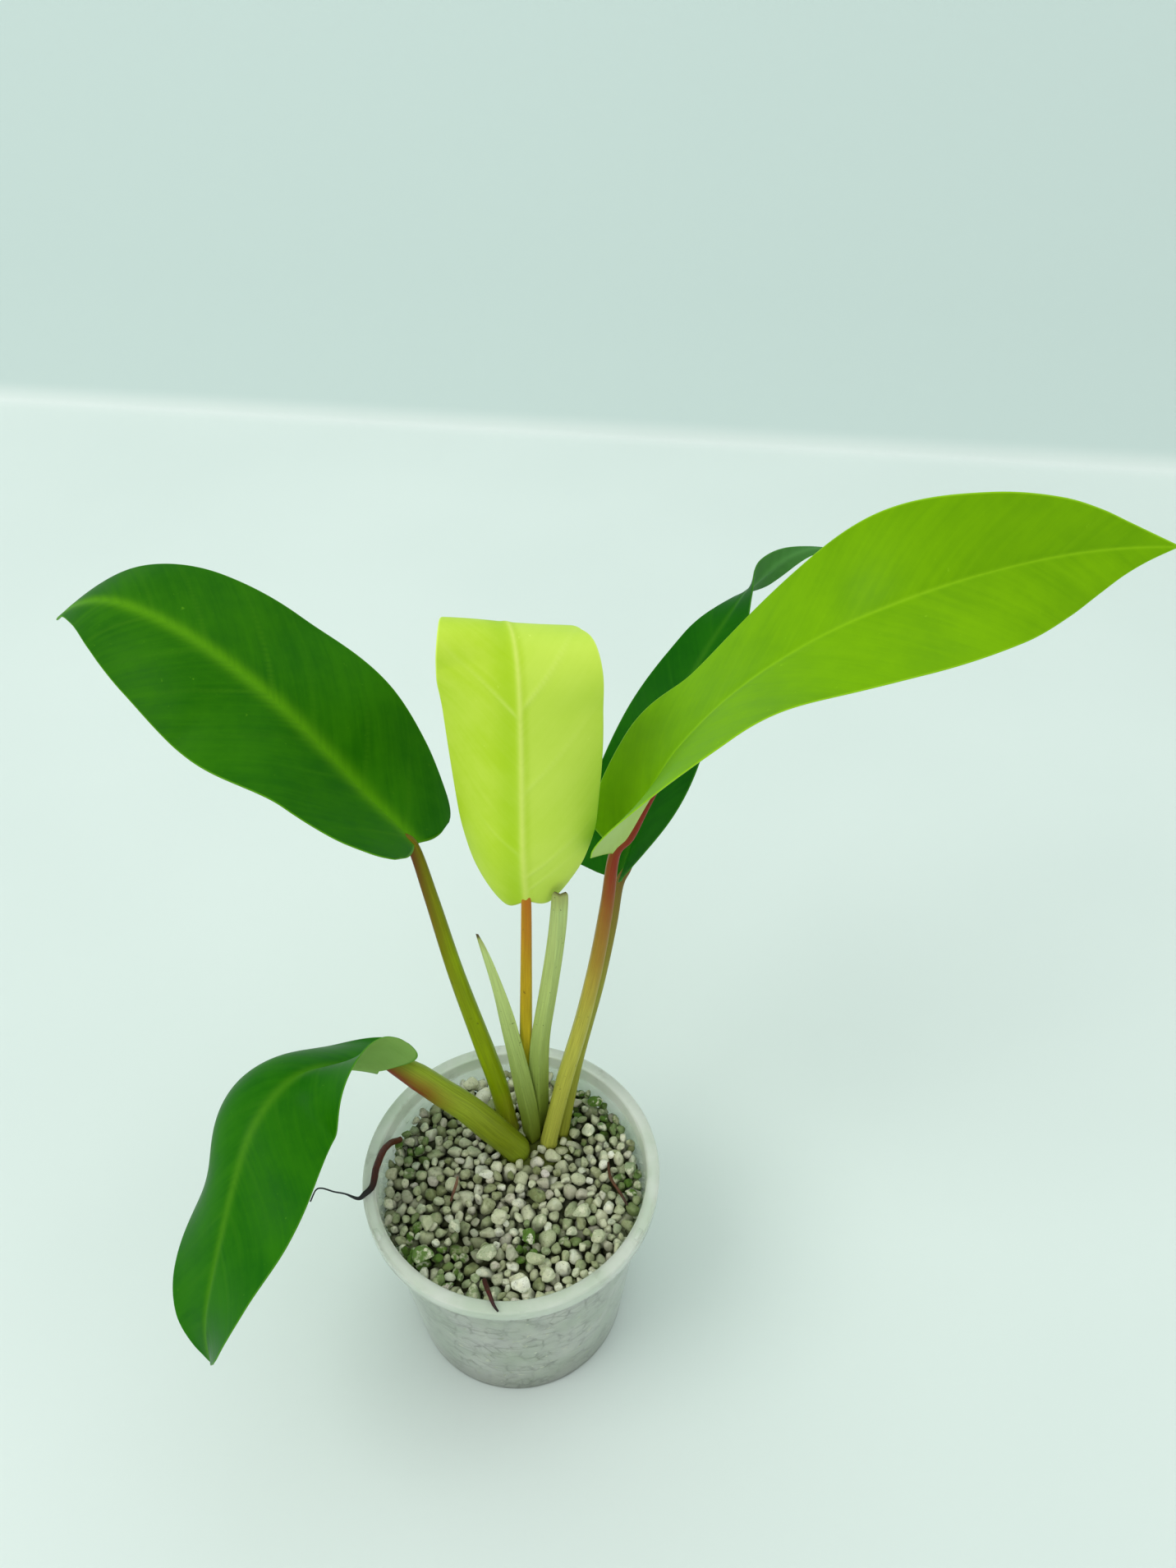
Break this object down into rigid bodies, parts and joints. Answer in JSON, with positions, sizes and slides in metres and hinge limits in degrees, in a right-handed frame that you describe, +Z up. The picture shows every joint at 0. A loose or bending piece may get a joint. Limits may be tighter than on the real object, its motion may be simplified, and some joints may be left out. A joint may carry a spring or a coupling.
{
  "type": "potted philodendron",
  "caption": "Tapered round pot of loose pumice holding a leafy plant: long curved blades on upright stalks that spread from one crown. Stands on its flat base.",
  "frame": {"origin": "centre of the pot's base, on the surface that it stands on", "axes": "+Z up along the pot's axis; +X to the right as seen from the front, the longest extent, which the leaves spread along; -Y is the front"},
  "size_m": [0.3545, 0.2456, 0.3333],
  "materials": {
    "blade_upper_left": "satin",
    "blade_centre": "satin",
    "blade_right_front": "satin",
    "blade_right_back": "satin",
    "blade_lower_left": "satin",
    "petiole_upper_left": "satin",
    "petiole_centre": "satin",
    "petiole_right_front": "satin",
    "petiole_right_back": "satin",
    "petiole_lower_left": "satin",
    "sheath": "matt",
    "crown": "matt",
    "pumice": "rough",
    "grain": "rough",
    "pot": "frosted, translucent",
    "dry_root": "matt",
    "inner_root": "matt"
  },
  "bodies": {
    "root": {"blade_centre": "blade_centre", "blade_lower_left": "blade_lower_left", "blade_right_back": "blade_right_back", "blade_right_front": "blade_right_front", "blade_upper_left": "blade_upper_left", "crown": "crown", "grain_01": "grain", "grain_02": "grain", "grain_03": "grain", "grain_04": "grain", "grain_05": "grain", "grain_06": "grain", "grain_07": "grain", "grain_08": "grain", "grain_09": "grain", "grain_10": "grain", "grain_11": "grain", "grain_12": "grain", "grain_13": "grain", "grain_14": "grain", "grain_15": "grain", "grain_16": "grain", "grain_17": "grain", "petiole_centre": "petiole_centre", "petiole_lower_left": "petiole_lower_left", "petiole_right_back": "petiole_right_back", "petiole_right_front": "petiole_right_front", "petiole_upper_left": "petiole_upper_left", "pot": "pot", "pumice_fill": "pumice", "root_front": "dry_root", "root_inner_front": "inner_root", "root_inner_left": "inner_root", "root_inner_low": "inner_root", "root_inner_right": "inner_root", "root_over_rim": "dry_root", "rootlet_left": "dry_root", "rootlet_right": "dry_root", "sheath_left": "sheath", "sheath_right": "sheath"}
  },
  "joints": []
}
